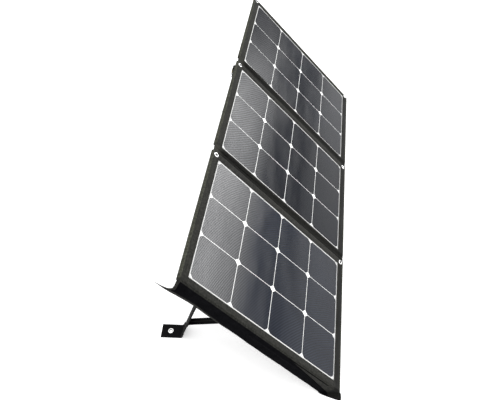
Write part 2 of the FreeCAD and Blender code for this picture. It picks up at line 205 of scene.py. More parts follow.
def quads(columns, rows):
    """Faces of a grid of points listed column by column."""
    corners = [i * rows + k for i in range(columns - 1) for k in range(rows - 1)]
    return [[c, c + rows, c + rows + 1, c + 1] for c in corners]


def grid(columns, rows, point, keep=None):
    """Points and quads of a grid, from two lists of places and a function of both."""
    points = [point(a, b) for a in columns for b in rows]
    faces = []
    for face in quads(len(columns), len(rows)):
        i, k = divmod(face[0], len(rows))
        if not keep or keep((columns[i] + columns[i + 1]) / 2, (rows[k] + rows[k + 1]) / 2):
            faces.append(face)
    return points, faces


def steps(low, high, size):
    """Evenly spaced places from low to high, about that far apart."""
    count = max(1, round(abs(high - low) / size))
    return [low + (high - low) * i / count for i in range(count + 1)]


def joined_steps(size, *marks):
    """Evenly spaced places between marks, with every mark among them."""
    places = [marks[0]]
    for low, high in zip(marks, marks[1:]):
        places += steps(low, high, size)[1:]
    return places


def walk(corners, size):
    """Evenly spaced points round a closed outline, about that far apart."""
    path = []
    for (x0, y0), (x1, y1) in zip(corners, corners[1:] + corners[:1]):
        for t in steps(0.0, 1.0, size / math.hypot(x1 - x0, y1 - y0))[:-1]:
            path.append((x0 + (x1 - x0) * t, y0 + (y1 - y0) * t))
    return path


def smooth_line(points, share):
    """Points of a Catmull-Rom line through the given ones, so many for each span."""
    ends = [points[0] * 2 - points[1], *points, points[-1] * 2 - points[-2]]
    made = []
    for a, b, c, d in zip(ends, ends[1:], ends[2:], ends[3:]):
        for k in range(share):
            t = k / share
            bend = (2 * a - 5 * b + 4 * c - d) * t * t + (3 * b - a - 3 * c + d) * t * t * t
            made.append(0.5 * ((2 * b) + (c - a) * t + bend))
    made.append(points[-1].copy())
    return made


def circle(count):
    """Cosine and sine of evenly spaced turns."""
    turns = (2 * math.pi * k / count for k in range(count))
    return [(math.cos(turn), math.sin(turn)) for turn in turns]


def shifted(faces, start):
    """Faces whose points are numbered from start on."""
    return [[start + i for i in face] for face in faces]


def tube_faces(rings, count, closed):
    faces = []
    for i in range(rings - 1 + (1 if closed else 0)):
        a, b = i * count, ((i + 1) % rings) * count
        for k in range(count):
            m = (k + 1) % count
            faces.append([a + k, a + m, b + m, b + k])
    if not closed:
        faces.append(list(range(count))[::-1])
        last = (rings - 1) * count
        faces.append(list(range(last, last + count)))
    return faces


def sweep(name, sections, material, closed=False):
    """A closed skin through sections of equal point counts."""
    points = [p for section in sections for p in section]
    return mesh_object(name, points, tube_faces(len(sections), len(sections[0]), closed), material)


def join(name, objects):
    """Joins objects into the first one, under a new name."""
    bm = bmesh.new()
    materials = []
    for obj in objects:
        start = len(bm.faces)
        bm.from_mesh(obj.data)
        bm.faces.ensure_lookup_table()
        for material in obj.data.materials:
            if material not in materials:
                materials.append(material)
        used = [materials.index(m) for m in obj.data.materials]
        for face in bm.faces[start:]:
            face.material_index = used[face.material_index] if used else 0
    mesh = mesh_from(bm, name)
    for material in materials:
        mesh.materials.append(material)
    for obj in objects:
        bpy.data.objects.remove(obj)
    return new_object(name, mesh)


def punch(obj, centres, direction, radius):
    """Cuts round holes through a piece."""
    turn = direction.to_track_quat("Z", "Y").to_matrix().to_4x4()
    for centre in centres:
        ring = bmesh.new()
        bmesh.ops.create_cone(
            ring, cap_ends=True, segments=24, radius1=radius * MM, radius2=radius * MM,
            depth=40 * MM, matrix=Matrix.Translation(centre) @ turn,
        )
        cutter = new_object("cutter", mesh_from(ring, "cutter"))
        cut = obj.modifiers.new("hole", "BOOLEAN")
        cut.operation = "DIFFERENCE"
        cut.object = cutter
        cut.solver = "EXACT"
        bpy.context.view_layer.update()
        made = obj.evaluated_get(bpy.context.evaluated_depsgraph_get())
        mesh = bpy.data.meshes.new_from_object(made)
        obj.modifiers.clear()
        obj.data = mesh
        bpy.data.objects.remove(cutter)
    obj.data.shade_smooth()


def ripple(x, y, size, seed):
    """Smooth noise from -1 to 1 with features of about that size, in mm."""
    return noise.noise(Vector((x / size, y / size, seed)))


# ---- materials ----
class Nodes:
    """Shorthand for the nodes of a tree."""

    def __init__(self, tree):
        self.tree = tree

    def feed(self, node, inputs):
        """Sets or links a node's inputs, and returns its outputs."""
        for key, value in inputs.items():
            if isinstance(value, bpy.types.NodeSocket):
                self.tree.links.new(value, node.inputs[key])
            else:
                node.inputs[key].default_value = value
        return node.outputs

    def make(self, kind, inputs):
        return self.feed(self.tree.nodes.new(kind), inputs)

    def math(self, operation, first, second=0.0):
        node = self.tree.nodes.new("ShaderNodeMath")
        node.operation = operation
        return self.feed(node, {0: first, 1: second})[0]

    def times(self, first, second):
        return self.math("MULTIPLY", first, second)

    def plus(self, first, second):
        return self.math("ADD", first, second)

    def axes(self, place):
        return self.make("ShaderNodeSeparateXYZ", {0: place})

    def span(self, value, low, high, from_low=0.3, from_high=0.7, kind="LINEAR"):
        """Turns a value's range, from_low to from_high, into low to high."""
        node = self.tree.nodes.new("ShaderNodeMapRange")
        node.interpolation_type = kind
        ends = {"From Min": from_low, "From Max": from_high, "To Min": low, "To Max": high}
        return self.feed(node, {"Value": value, **ends})["Result"]


class Shader(Nodes):
    """The nodes of a new surface material."""

    def __init__(self, name):
        self.material = bpy.data.materials.new(name)
        self.material.use_nodes = True
        super().__init__(self.material.node_tree)
        self.shader = self.tree.nodes["Principled BSDF"]
        self.place = self.tree.nodes.new("ShaderNodeTexCoord").outputs["Object"]

    def mapping(self, place, change, amount):
        return self.make("ShaderNodeMapping", {"Vector": place, change: amount})["Vector"]

    def panel_place(self):
        """Object coordinates turned so that X and Y lie in the panels' faces."""
        return self.mapping(self.place, "Rotation", (-SLOPE_TURN, 0, 0))

    def noise(self, scale, detail=3.0, place=None):
        inputs = {"Scale": scale, "Detail": detail, "Vector": place or self.place}
        return self.make("ShaderNodeTexNoise", inputs)["Fac"]

    def blend(self, factor, first, second):
        node = self.tree.nodes.new("ShaderNodeMix")
        node.data_type = "RGBA"
        first, second = ((*c, 1) if isinstance(c, tuple) else c for c in (first, second))
        return self.feed(node, {"Factor": factor, 6: first, 7: second})[2]

    def bump(self, height, strength, distance):
        inputs = {"Strength": strength, "Distance": distance, "Height": height}
        self.look(Normal=self.make("ShaderNodeBump", inputs)["Normal"])

    def look(self, **values):
        """Sets or links the surface's own inputs."""
        self.feed(self.shader, {name.replace("_", " "): value for name, value in values.items()})

    def patchy(self, tone, dark, light, rough):
        """Colour and roughness that follow one noise."""
        base = self.blend(self.span(tone, 0.0, 1.0), dark, light)
        self.look(Base_Color=base, Roughness=self.span(tone, *rough))


def scaled(colour, factor):
    return tuple(c * factor for c in colour)


def weave(sh, pitch):
    """Plain weave: threads over and under in both directions of the cloth."""
    axes = sh.axes(sh.panel_place())
    turns = math.pi / (pitch * MM)
    across, up = (sh.math("SINE", sh.times(axes[k], turns)) for k in (0, 1))
    return sh.times(across, up)


def cloth(name, dark, light, pitch=0.8, shine=0.14, low_edge=1.0, high_edge=1.0):
    """Woven cloth; low_edge and high_edge scale its colour along the two long edges; low_edge paints
    shade along the lower edge.
    """
    sh = Shader(name)
    threads = weave(sh, pitch)
    fading = sh.noise(9.0, 4.0)
    melange = sh.noise(700.0, 2.0)
    flecks = sh.noise(210.0, 4.0)
    base = sh.blend(sh.span(fading, 0.0, 1.0), dark, light)
    base = sh.blend(sh.span(flecks, 0.0, 0.55, 0.47, 0.72), base, scaled(light, 2.4))
    base = sh.blend(sh.span(flecks, 0.6, 0.0, 0.30, 0.47), base, scaled(dark, 0.3))
    up = sh.axes(sh.panel_place())[1]
    if low_edge < 1.0:
        # painted shade: the band along the lower edge is darkened where it lies in shade
        painted_shade_low = sh.span(up, 1.0, 0.0, LOW_EDGE + 20 * MM, LOW_EDGE + 27 * MM)
        base = sh.blend(painted_shade_low, base, scaled(dark, low_edge))
    if high_edge > 1.0:
        # colour lighter towards the upper edge
        lighter_near_high_edge = sh.span(up, 0.0, 1.0, HIGH_EDGE - 34 * MM, HIGH_EDGE - 14 * MM)
        base = sh.blend(lighter_near_high_edge, base, scaled(light, high_edge))
    sh.bump(sh.plus(sh.times(threads, 0.6), sh.times(melange, 0.8)), 0.35, 0.25 * MM)
    sh.look(Base_Color=base, Roughness=sh.span(fading, 0.78, 0.95))
    sh.look(Sheen_Weight=0.25 * shine, Sheen_Roughness=0.5, Specular_IOR_Level=shine)
    return sh.material


def webbing(name, dark, light):
    """Strap webbing: ribs across the strap, with a fine herringbone between."""
    pitch = 2.0 * MM
    sh = Shader(name)
    axes = sh.axes(sh.place)
    run = sh.plus(axes[1], sh.times(axes[2], 0.9))
    zigzag = sh.math("PINGPONG", axes[0], 1.5 * MM)
    ribs = sh.math("SINE", sh.times(sh.plus(run, zigzag), 2 * math.pi / pitch))
    sh.patchy(sh.noise(30.0, 4.0), dark, light, (0.7, 0.92))
    sh.bump(sh.plus(ribs, sh.noise(900.0)), 0.4, 0.25 * MM)
    sh.look(Sheen_Weight=0.01, Sheen_Roughness=0.4, Specular_IOR_Level=0.07)
    return sh.material


def pile(name, dark, light):
    """Hook-and-loop pile: a dense fuzz with no direction."""
    sh = Shader(name)
    fuzz = sh.noise(1400.0, 6.0)
    base = sh.blend(sh.span(sh.noise(60.0), 0.0, 1.0), dark, light)
    sh.bump(fuzz, 0.8, 0.5 * MM)
    sh.look(Base_Color=base, Roughness=sh.span(fuzz, 0.85, 1.0), Specular_IOR_Level=0.03)
    return sh.material


def film_relief(sh, place):
    """Relief of the embossed clear film over the cells: a close field of round dimples."""
    dimple = 1.9 * MM
    inputs = {"Scale": 1 / dimple, "Randomness": 0.12, "Vector": place}
    return sh.make("ShaderNodeTexVoronoi", inputs)["Distance"]


# Painted cell colours: shade in the ribs' troughs, reflection on their crests, and a lighter painted
# reflection over the uppermost cells.
CELL_RIB_SHADE = (0.0070, 0.0088, 0.0148)
CELL_RIB_REFLECTION = (0.0170, 0.0215, 0.0330)
UPPER_CELL_REFLECTION = (0.0230, 0.0245, 0.0280)
BEAD_PITCH = 1.15


def cell_material(panel, ribs, fan, net, gloss, deep, relief):
    """Dark cell under the embossed film, whose rows of ribs fan out slowly; the ribs' light and shade
    are painted into its colour.

    ribs are ribs per mm along the row and up the slope at the panel's middle; fan is how
    fast those change: along with along, either with the other, and up with up.
    net is how strongly beads break up the ribs, gloss scales the shine and deep the colour, as painted
    shade for the whole panel.
    relief is how strongly the ribs show in the uppermost cells, whose lighter colour is painted
    reflection.
    """
    sh = Shader(f"{panel}_cells_under_film")
    place = sh.panel_place()
    axes = sh.axes(place)
    middle = (ORIGIN.x / MM + CENTRE[panel], LOW_EDGE / MM + WIDTH / 2)
    u, v = (sh.math("SUBTRACT", sh.times(axes[k], 1 / MM), middle[k]) for k in (0, 1))
    along_rate = sh.plus(sh.times(u, fan[0] / 2), sh.times(v, fan[1]))
    along_turns = sh.times(u, sh.plus(along_rate, ribs[0]))
    up_turns = sh.times(v, sh.plus(sh.times(v, fan[2] / 2), ribs[1]))
    bow = sh.times(sh.noise(9.0, 1.0, place), 1.2)
    turns = sh.plus(sh.plus(along_turns, up_turns), bow)
    rows = sh.math("SINE", sh.times(turns, 2 * math.pi))
    cross = sh.math("SUBTRACT", sh.times(v, ribs[0]), sh.times(u, ribs[1]))
    beads = sh.math("SINE", sh.times(cross, 2 * math.pi / BEAD_PITCH))
    mesh = sh.plus(rows, sh.times(sh.times(rows, beads), net))
    rising = sh.span(mesh, 0.0, 1.0, -1.0, 1.0)
    clouds = sh.span(sh.noise(9.0, 4.0, place), 0.25, 1.0, 0.35, 0.62)
    lines = sh.times(rising, clouds)
    # The ribs are painted into the colour: troughs darker as painted shade, crests lighter as painted
    # reflection, all scaled per panel by deep as painted shade.
    calm = sh.blend(lines, scaled(CELL_RIB_SHADE, deep), scaled(CELL_RIB_REFLECTION, deep))
    swing = 0.78 * relief
    # Uppermost cells: lighter colour and stronger ribs, painted reflection.
    ribbed = sh.blend(rising, scaled(UPPER_CELL_REFLECTION, 1.0 - swing), scaled(UPPER_CELL_REFLECTION, 1.0 + swing))
    drawn_out = sh.mapping(place, "Scale", (0.22, 1.0, 1.0))
    streaks = sh.span(sh.noise(26.0, 3.0, drawn_out), 1.22, 0.78)
    sh.bump(sh.plus(film_relief(sh, place), mesh), 0.03, 0.2 * MM)
    sh.look(
        Base_Color=sh.blend(sh.span(v, 0.0, 1.0, 80.0, 125.0), calm, ribbed),
        Roughness=sh.times(streaks, sh.span(lines, 0.18, 0.10, 0.0, 1.0)),
        IOR=1.27, Specular_IOR_Level=0.44 * gloss,
    )
    return sh.material


def backsheet_material():
    sh = Shader("white_backsheet_under_film")
    sh.patchy(sh.noise(25.0), (0.86, 0.86, 0.85), (0.93, 0.93, 0.92), (0.28, 0.4))
    sh.bump(film_relief(sh, sh.panel_place()), 0.1, 0.2 * MM)
    return sh.material


def metal(name, dark, light, rough=(0.18, 0.34)):
    sh = Shader(name)
    sh.patchy(sh.noise(160.0, 5.0), dark, light, rough)
    sh.bump(sh.noise(2200.0, 2.0), 0.08, 0.05 * MM)
    sh.look(Metallic=1.0)
    return sh.material


def plastic(name, dark, light, rough=(0.4, 0.6)):
    sh = Shader(name)
    sh.patchy(sh.noise(20.0), dark, light, rough)
    sh.bump(sh.noise(900.0), 0.15, 0.1 * MM)
    return sh.material


# The border cloth's band along the lower edge is darkened by half: painted shade.
BORDER_CLOTH = cloth(
    "border_cloth", (0.0115, 0.0115, 0.0100), (0.0190, 0.0190, 0.0160), low_edge=0.5
)
WEB_CLOTH = cloth(
    "fold_web_cloth", (0.0035, 0.0035, 0.0031), (0.0075, 0.0075, 0.0064), shine=0.05,
    high_edge=4.5,
)
BACK_CLOTH = cloth("back_cloth", (0.018, 0.019, 0.017), (0.028, 0.029, 0.026))
BINDING_TAPE = cloth("binding_tape", (0.024, 0.025, 0.019), (0.040, 0.041, 0.031), pitch=1.1)
LEG_CLOTH = cloth(
    "leg_sleeve_cloth", (0.004, 0.004, 0.004), (0.008, 0.008, 0.0075), pitch=0.9, shine=0.06
)
# Near-black cloth for the band in the flap's crease: painted shade.
CREASE_SHADE_CLOTH = cloth("painted_crease_shade", (0.0010, 0.0010, 0.0010), (0.0022, 0.0022, 0.0020), shine=0.02)
THREAD = cloth("sewing_thread", (0.012, 0.012, 0.011), (0.022, 0.022, 0.020), pitch=0.3)
STRIP_PILE = pile("hook_and_loop_pile", (0.0015, 0.0015, 0.0022), (0.0035, 0.0035, 0.0045))
WEBBING = webbing("black_webbing", (0.0025, 0.0025, 0.003), (0.006, 0.006, 0.0065))
STRAP_LINE = webbing("webbing_lighter_line", (0.022, 0.022, 0.021), (0.036, 0.036, 0.034))
# The same cells get a different depth of colour on each panel: lit and shaded copies, painted light and
# shade.
CELL_FACE = {
    "near": cell_material(
        "near", (0.1175, 0.1164), (1.04e-4, -1.47e-4, 2.67e-4), 0.2, 0.94, 1.0, 1.0
    ),
    "mid": cell_material(
        "mid", (0.069, 0.135), (-0.5e-4, 1.0e-4, -1.0e-4), 0.45, 0.57, 0.5, 1.1
    ),
    "far": cell_material("far", (0.065, 0.150), (0.0, 0.0, 0.0), 0.4, 0.64, 0.6, 0.6),
}
WHITE_SHEET = backsheet_material()
NICKEL = metal("nickel_plate", (0.56, 0.56, 0.56), (0.76, 0.76, 0.75))
# Near-black metal for the eyelets' bores: painted shade inside the hole.
BORE_SHADE_METAL = metal("painted_shade_bore", (0.05, 0.05, 0.05), (0.12, 0.12, 0.12), (0.4, 0.6))
BRASS = metal("dull_brass", (0.46, 0.40, 0.22), (0.66, 0.59, 0.36), (0.3, 0.5))
DARK_METAL = metal("dark_zip_metal", (0.10, 0.10, 0.10), (0.22, 0.22, 0.22), (0.3, 0.45))
TINNED = metal("tinned_copper", (0.60, 0.60, 0.61), (0.76, 0.76, 0.77))
BOARD = plastic("board", (0.05, 0.05, 0.05), (0.08, 0.08, 0.08))
MOULDED = plastic("moulded_black", (0.014, 0.014, 0.015), (0.026, 0.026, 0.027))
NYLON = plastic("zip_nylon", (0.010, 0.010, 0.011), (0.018, 0.018, 0.019), (0.25, 0.4))


# ---- front cloth: borders and fold webs share one height function ----
def smooth(t):
    t = min(1.0, max(0.0, t))
    return t * t * (3 - 2 * t)


def window_distance(x, y):
    """How far outside the nearest window of cells a point is."""
    best = 1e9
    for panel in PANELS:
        dx = max(0.0, abs(x - CENTRE[panel]) - WINDOW_ALONG / 2)
        dy = max(0.0, abs(y - WIDTH / 2) - WINDOW_UP / 2)
        best = min(best, math.hypot(dx, dy))
    return best


FOLD_REACH = 27.0


def fold_crease(x, y):
    """Depth of the crease along the fold lines, deepest near the upper edge."""
    depth = 0.0
    for centre in FOLD_X.values():
        away = abs(x - centre)
        if away > FOLD_REACH:
            continue
        high = smooth((y - WIDTH * 0.62) / (WIDTH * 0.34))
        wander = 1.5 * ripple(0, y, 90, 3.0)
        valley = math.exp(-(((x - centre - wander) / 2.6) ** 2))
        dip = math.exp(-(((x - centre) / 8.0) ** 2))
        depth += (0.5 + 2.2 * high) * valley + 0.8 * dip
        pleat = noise.noise(Vector(((x + 0.06 * y) / 6.0, y / 110.0, 9.0)))
        depth += 1.5 * pleat * smooth((y - 300) / 180) * smooth((FOLD_REACH - away) / 9.0)
    return depth * (0.25 + 0.75 * smooth((WIDTH - y) / 32.0))


def cloth_z(x, y):
    """Height of the front cloth, in mm above the border's nominal face."""
    away = window_distance(x, y)
    edge = min(y, WIDTH - y, SPAN["far"][1] - x)
    end_turn = 2.2 * (1.0 - smooth((x - SPAN["near"][0]) / 5.0)) ** 2
    puff = (0.85 + 0.25 * smooth(away / 5.0)) * smooth(edge / 7.0) - end_turn * 0.5
    seam = 0.6 * math.exp(-(((away - SEAM_INSET) / 1.3) ** 2))
    wave = 0.35 * ripple(x, y, 38, 0.0) + 0.16 * ripple(x, y, 14, 5.0)
    end = math.exp(-(((x - SPAN["near"][0]) / 60.0) ** 2))
    beside_fold = min(abs(x - fold) for fold in FOLD_X.values())
    from_fold = smooth((beside_fold - 15.0) / 20.0)
    wave *= (1.0 + 1.2 * end) * (0.1 + 0.9 * from_fold)
    puff -= 0.2 * (1.0 - from_fold)
    z = puff - seam + wave * smooth(away / 3.0) * smooth(edge / 5.0) - fold_crease(x, y)
    for panel in PANELS:
        for eyelet_y in EYELET_Y:
            r = math.hypot(x - CENTRE[panel] - EYELET_ALONG, y - eyelet_y)
            if r < EYELET_REACH:
                z -= (z - 0.15) * math.exp(-((r / 13.0) ** 4))
    return z


def front_cloth(panel):
    """Cloth border of one panel, open over the cells and at the eyelets."""
    low, high = SPAN[panel]
    mid_x, mid_y = CENTRE[panel], WIDTH / 2
    left, right = mid_x - WINDOW_ALONG / 2, mid_x + WINDOW_ALONG / 2
    bottom, top = mid_y - WINDOW_UP / 2, mid_y + WINDOW_UP / 2
    past = high - (1.0 if panel == "far" else 0.0)
    columns = joined_steps(3.0, low, left - 1.2, left - 0.5, left)
    columns += joined_steps(8.0, left, right)[1:]
    columns += joined_steps(2.6, right, right + 0.5, right + 1.2, past)[1:]
    rows = joined_steps(3.2, 1.0, bottom - 1.2, bottom - 0.5, bottom)
    rows += joined_steps(8.0, bottom, top)[1:]
    rows += joined_steps(3.2, top, top + 0.5, top + 1.2, WIDTH - 1.0)[1:]

    def outside(x, y):
        return not (left < x < right and bottom < y < top)

    def point(x, y):
        lip = smooth(window_distance(x, y) / 0.5)
        return at(x, y, cloth_z(x, y) * lip + (FILM_Z + 0.3) * (1 - lip))

    points, faces = grid(columns, rows, point, outside)
    obj = thick_sheet(f"{panel}_border_cloth", points, faces, BORDER_THICK, BORDER_CLOTH, OUTWARD)
    centres = [at(mid_x + EYELET_ALONG, y, 0) for y in EYELET_Y]
    punch(obj, centres, OUTWARD, EYELET_HOLE)
    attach(obj, BODY[panel])
    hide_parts(f"{panel}_front_frame")


def fold_web(fold, before, after):
    """Cloth web between two panels, creased along its fold line."""
    low, high = SPAN[before][1], SPAN[after][0]
    columns = steps(low, high, 1.4)
    rows = steps(1.6, WIDTH - 1.6, 5.0)
    points, faces = grid(columns, rows, lambda x, y: at(x, y, cloth_z(x, y)))
    obj = thick_sheet(f"{fold}_web_cloth", points, faces, WEB_THICK, WEB_CLOTH, OUTWARD)
    a, b = before, after
    ends = (at(low, WIDTH / 2, 0), at(high, WIDTH / 2, 0))
    if fold == "near":
        a, b = b, a
        ends = ends[::-1]
    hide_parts(f"{fold}_fold_web")
    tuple(ends[0])
    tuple(ends[1])
    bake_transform(obj)


# ---- back cloth ----
def back_cloth(panel):
    """Cloth behind one panel, turned up at its sides, but not at the row's far end."""
    low, high = SPAN[panel]
    lift = THICK - 1.6
    columns = [(low, k / 3) for k in range(3, 0, -1)]
    columns += [(x, 0.0) for x in steps(low + 0.6, high - 0.6, 7.0)]
    if panel != "far":
        columns += [(high, k / 3) for k in range(1, 4)]
    rows = steps(1.0, WIDTH - 1.0, 7.0)

    def point(column, y):
        x, turned_up = column
        if turned_up:
            return at(x, y, BACK + 0.3 + (lift - 0.3) * turned_up)
        edge = min(x - low, high - x, y, WIDTH - y)
        wave = 0.5 * ripple(x, y, 55, 11.0) + 0.22 * ripple(x, y, 17, 13.0)
        return at(x, y, BACK - (0.45 + wave) * smooth(edge / 12.0))

    points = [point(column, y) for column in columns for y in rows]
    faces = quads(len(columns), len(rows))
    obj = thick_sheet(f"{panel}_back_cloth", points, faces, BACK_THICK, BACK_CLOTH, -OUTWARD)
    centres = [at(CENTRE[panel] + EYELET_ALONG, y, BACK) for y in EYELET_Y]
    punch(obj, centres, OUTWARD, EYELET_HOLE)
    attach(obj, BODY[panel])
    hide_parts(f"{panel}_back_cover")


# ---- edge binding ----
BIND_LAP = 6.5


def binding_profile(x, y):
    """Section of the bound edge: (in from the edge, z) points around the tape."""
    puff = 0.35 + 0.12 * ripple(x, y, 24, 21.0)
    front = 0.55 + puff
    back = BACK - 0.35 - puff
    return [
        (BIND_LAP, front - 0.65), (BIND_LAP - 0.4, front), (BIND_LAP - 2.6, front + 0.15),
        (2.0, front), (0.7, front - 0.9), (0.05, -1.6), (-0.15, BACK / 2), (0.05, BACK + 1.4),
        (0.7, back + 0.8), (2.0, back), (BIND_LAP - 2.6, back - 0.1), (BIND_LAP - 0.4, back),
        (BIND_LAP, back + 0.6), (1.6, BACK + 0.4), (1.0, BACK / 2), (1.6, -0.4),
    ]


def edge_path(panel):
    """Points along the bound edges with the inward direction at each, corners rounded."""
    low, high = SPAN[panel]
    radius = 7.0
    path = []

    def straight(x0, y0, x1, y1, inward):
        for t in steps(0.0, 1.0, 9.0 / math.hypot(x1 - x0, y1 - y0)):
            path.append((x0 + (x1 - x0) * t, y0 + (y1 - y0) * t, *inward))

    def corner(cx, cy, start):
        for k in range(1, 6):
            angle = math.radians(start - 90.0 * k / 6)
            out_x, out_y = math.cos(angle), math.sin(angle)
            path.append((cx + radius * out_x, cy + radius * out_y, -out_x, -out_y))

    if panel == "far":
        straight(low, WIDTH, high - radius, WIDTH, (0, -1))
        corner(high - radius, WIDTH - radius, 90.0)
        straight(high, WIDTH - radius, high, radius, (-1, 0))
        corner(high - radius, radius, 0.0)
        straight(high - radius, 0.0, low, 0.0, (0, 1))
        return [path]
    start = low + (1.5 if panel == "near" else 0.0)
    straight(start, 0.0, high, 0.0, (0, 1))
    lower = list(path)
    path.clear()
    straight(start, WIDTH, high, WIDTH, (0, -1))
    return [lower, path]


def edge_tape(panel):
    """Tape sewn round the panel's free edges."""
    made = []
    for number, path in enumerate(edge_path(panel)):
        sections = []
        for x, y, inx, iny in path:
            sections.append([at(x + inx * d, y + iny * d, z) for d, z in binding_profile(x, y)])
        made.append(sweep(f"tape_{panel}_{number}", sections, BINDING_TAPE))
    obj = join(f"{panel}_edge_tape", made)
    obj.data.shade_smooth()
    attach(obj, BODY[panel])
    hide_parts(f"{panel}_edge_binding")


# ---- cells under their film ----
CELL_CORNERS = 20


def cell_outline(x, y, shrink):
    """Outline of a cell cut from a round wafer, as points around it."""
    half = CELL / 2 - shrink
    radius = WAFER_RADIUS - shrink
    reach = math.sqrt(radius ** 2 - half ** 2)
    points = []
    first = math.atan2(reach, half)
    last = math.atan2(half, reach)
    for quarter in range(4):
        for k in range(CELL_CORNERS // 4):
            angle = first + (last - first) * k / 4 + quarter * math.pi / 2
            points.append((x + radius * math.cos(angle), y + radius * math.sin(angle)))
    return points


def laminate(panel):
    """White sheet with the dark cells just proud of it, all under the clear film's gloss."""
    cx, cy = CENTRE[panel], WIDTH / 2
    under_border = 5.0
    half_x, half_y = WINDOW_ALONG / 2 + under_border, WINDOW_UP / 2 + under_border
    top = FILM_Z - 0.12
    columns = steps(cx - half_x, cx + half_x, 24.0)
    rows = steps(cy - half_y, cy + half_y, 24.0)
    points, faces = grid(columns, rows, lambda x, y: at(x, y, top))
    sheet = thick_sheet(f"sheet_{panel}", points, faces, 0.6, WHITE_SHEET, OUTWARD)
    cell_points = []
    cell_faces = []
    rings = ((0.0, top - 0.1), (0.0, top + 0.08), (0.08, top + 0.1))
    for i in range(3):
        for j in range(4):
            x = cx + (i - 1) * CELL_PITCH
            y = cy + (j - 1.5) * CELL_PITCH
            cell_faces += shifted(tube_faces(len(rings), CELL_CORNERS, False), len(cell_points))
            for shrink, z in rings:
                cell_points += [at(px, py, z) for px, py in cell_outline(x, y, shrink)]
    cells = mesh_object(f"cells_{panel}", cell_points, cell_faces, CELL_FACE[panel], smooth=False)
    obj = join(f"{panel}_laminate", [sheet, cells])
    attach(obj, BODY[panel])
    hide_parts(f"{panel}_front_film", f"{panel}_cells", f"{panel}_encapsulant")


# ---- eyelets ----
def eyelet_profile(front, back, scale):
    """Section of a pressed eyelet: (radius, height) points round the metal."""
    points = [(4.5, front + 0.25)]
    for k in range(7):
        angle = math.radians(180 - 30 * k)
        points.append((6.7 + 2.2 * math.cos(angle), front + 0.1 + 1.0 * math.sin(angle)))
    points += [(8.9, front - 0.2), (5.5, front - 0.1), (5.45, back + 0.1), (8.8, back + 0.1)]
    for k in range(7):
        angle = math.radians(-30 * k)
        points.append((6.7 + 2.1 * math.cos(angle), back - 0.1 - 0.8 * abs(math.sin(angle))))
    points += [(4.5, back - 0.2), (4.35, (front + back) / 2)]
    return [(radius * scale, height) for radius, height in points]


def eyelet(name, centre, axis, front, back, material, scale=1.0):
    """A turned ring; front and back are the cloth's faces along the axis, in mm."""
    side = axis.orthogonal().normalized()
    other = axis.cross(side)
    profile = eyelet_profile(front, back, scale)
    sections = []
    for cos, sin in circle(32):
        spoke = side * cos + other * sin
        sections.append([centre + spoke * r * MM + axis * h * MM for r, h in profile])
    ring = sweep(name, sections, material, closed=True)
    # Faces round the bore get the near-black metal: painted shade inside the hole.
    ring.data.materials.append(BORE_SHADE_METAL)
    for face in ring.data.polygons:
        away = face.center - centre
        if (away - axis * away.dot(axis)).length < 5.5 * scale * MM:
            face.material_index = 1
    return ring


def panel_eyelets(panel):
    made = []
    for number, y in enumerate(EYELET_Y):
        centre = at(CENTRE[panel] + EYELET_ALONG, y, 0)
        made.append(eyelet(f"ring_{panel}_{number}", centre, OUTWARD, 0.35, BACK - 0.3, NICKEL, 0.86))
    obj = join(f"{panel}_eyelet_rings", made)
    obj.data.shade_smooth()
    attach(obj, BODY[panel])
    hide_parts(f"{panel}_eyelets")


# ---- stitching ----
def stitches(name, path, pitch, length, radius, body, out=OUTWARD):
    """Lock stitches: short bowed threads along a path of row-frame points."""
    points = []
    faces = []
    total = 0.0
    spans = []
    for a, b in zip(path, path[1:]):
        run = (b - a).length
        spans.append((total, total + run, a, b))
        total += run
    place = pitch * MM / 2
    index = 0
    while place < total:
        while spans[index][1] < place and index < len(spans) - 1:
            index += 1
        low, high, a, b = spans[index]
        centre = a.lerp(b, (place - low) / max(high - low, 1e-9))
        along = (b - a).normalized()
        side = out.cross(along).normalized()
        faces += shifted(tube_faces(4, 5, False), len(points))
        for t, rise, fat in ((-0.5, -0.5, 0.5), (-0.25, 0.5, 1.0), (0.25, 0.5, 1.0), (0.5, -0.5, 0.5)):
            middle = centre + along * t * length * MM + out * rise * radius * MM
            for cos, sin in circle(5):
                points.append(middle + (side * cos + out * sin) * radius * fat * MM)
        place += pitch * MM
    obj = mesh_object(name, points, faces, THREAD)
    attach(obj, body)


def border_stitches(panel):
    """A seam round the cells' window."""
    cx, cy = CENTRE[panel], WIDTH / 2
    hx, hy = WINDOW_ALONG / 2 + SEAM_INSET, WINDOW_UP / 2 + SEAM_INSET
    corners = [(cx - hx, cy - hy), (cx + hx, cy - hy), (cx + hx, cy + hy), (cx - hx, cy + hy)]
    path = [at(x, y, cloth_z(x, y) + 0.1) for x, y in walk(corners, 6.0)]
    path.append(path[0])
    stitches(f"{panel}_window_stitches", path, 3.6, 2.6, 0.28, BODY[panel])


# ---- flap at the near end ----
FLAP_DEPTH = -flat_z("flap_cloth")[0]
FLAP_PAST = flat_y("flap_cloth")[1] - WIDTH
END_X = SPAN["near"][0]
LEAN_TAN = OUTWARD.z / UP_SLOPE.z
GROUND_LIFT = 1.6
ON_GROUND = 17.0
END_BEND = 2.6
GROUND_BEND = 6.0


def between(places, value):
    """Straight-line reading of a list of (place, value) pairs."""
    for (a, low), (b, high) in zip(places, places[1:]):
        if value <= b:
            return low + (high - low) * (value - a) / (b - a)
    return places[-1][1]


def flap_ground(depth):
    """Where the flap meets the ground, up the slope, at a depth behind the front face."""
    return (depth - THICK) * LEAN_TAN + GROUND_LIFT / UP_SLOPE.z


def flap_low(depth):
    """The flap's lower hem, some of it spread on the ground."""
    return flap_ground(depth) - ON_GROUND * (1.0 - depth / FLAP_DEPTH) ** 0.8


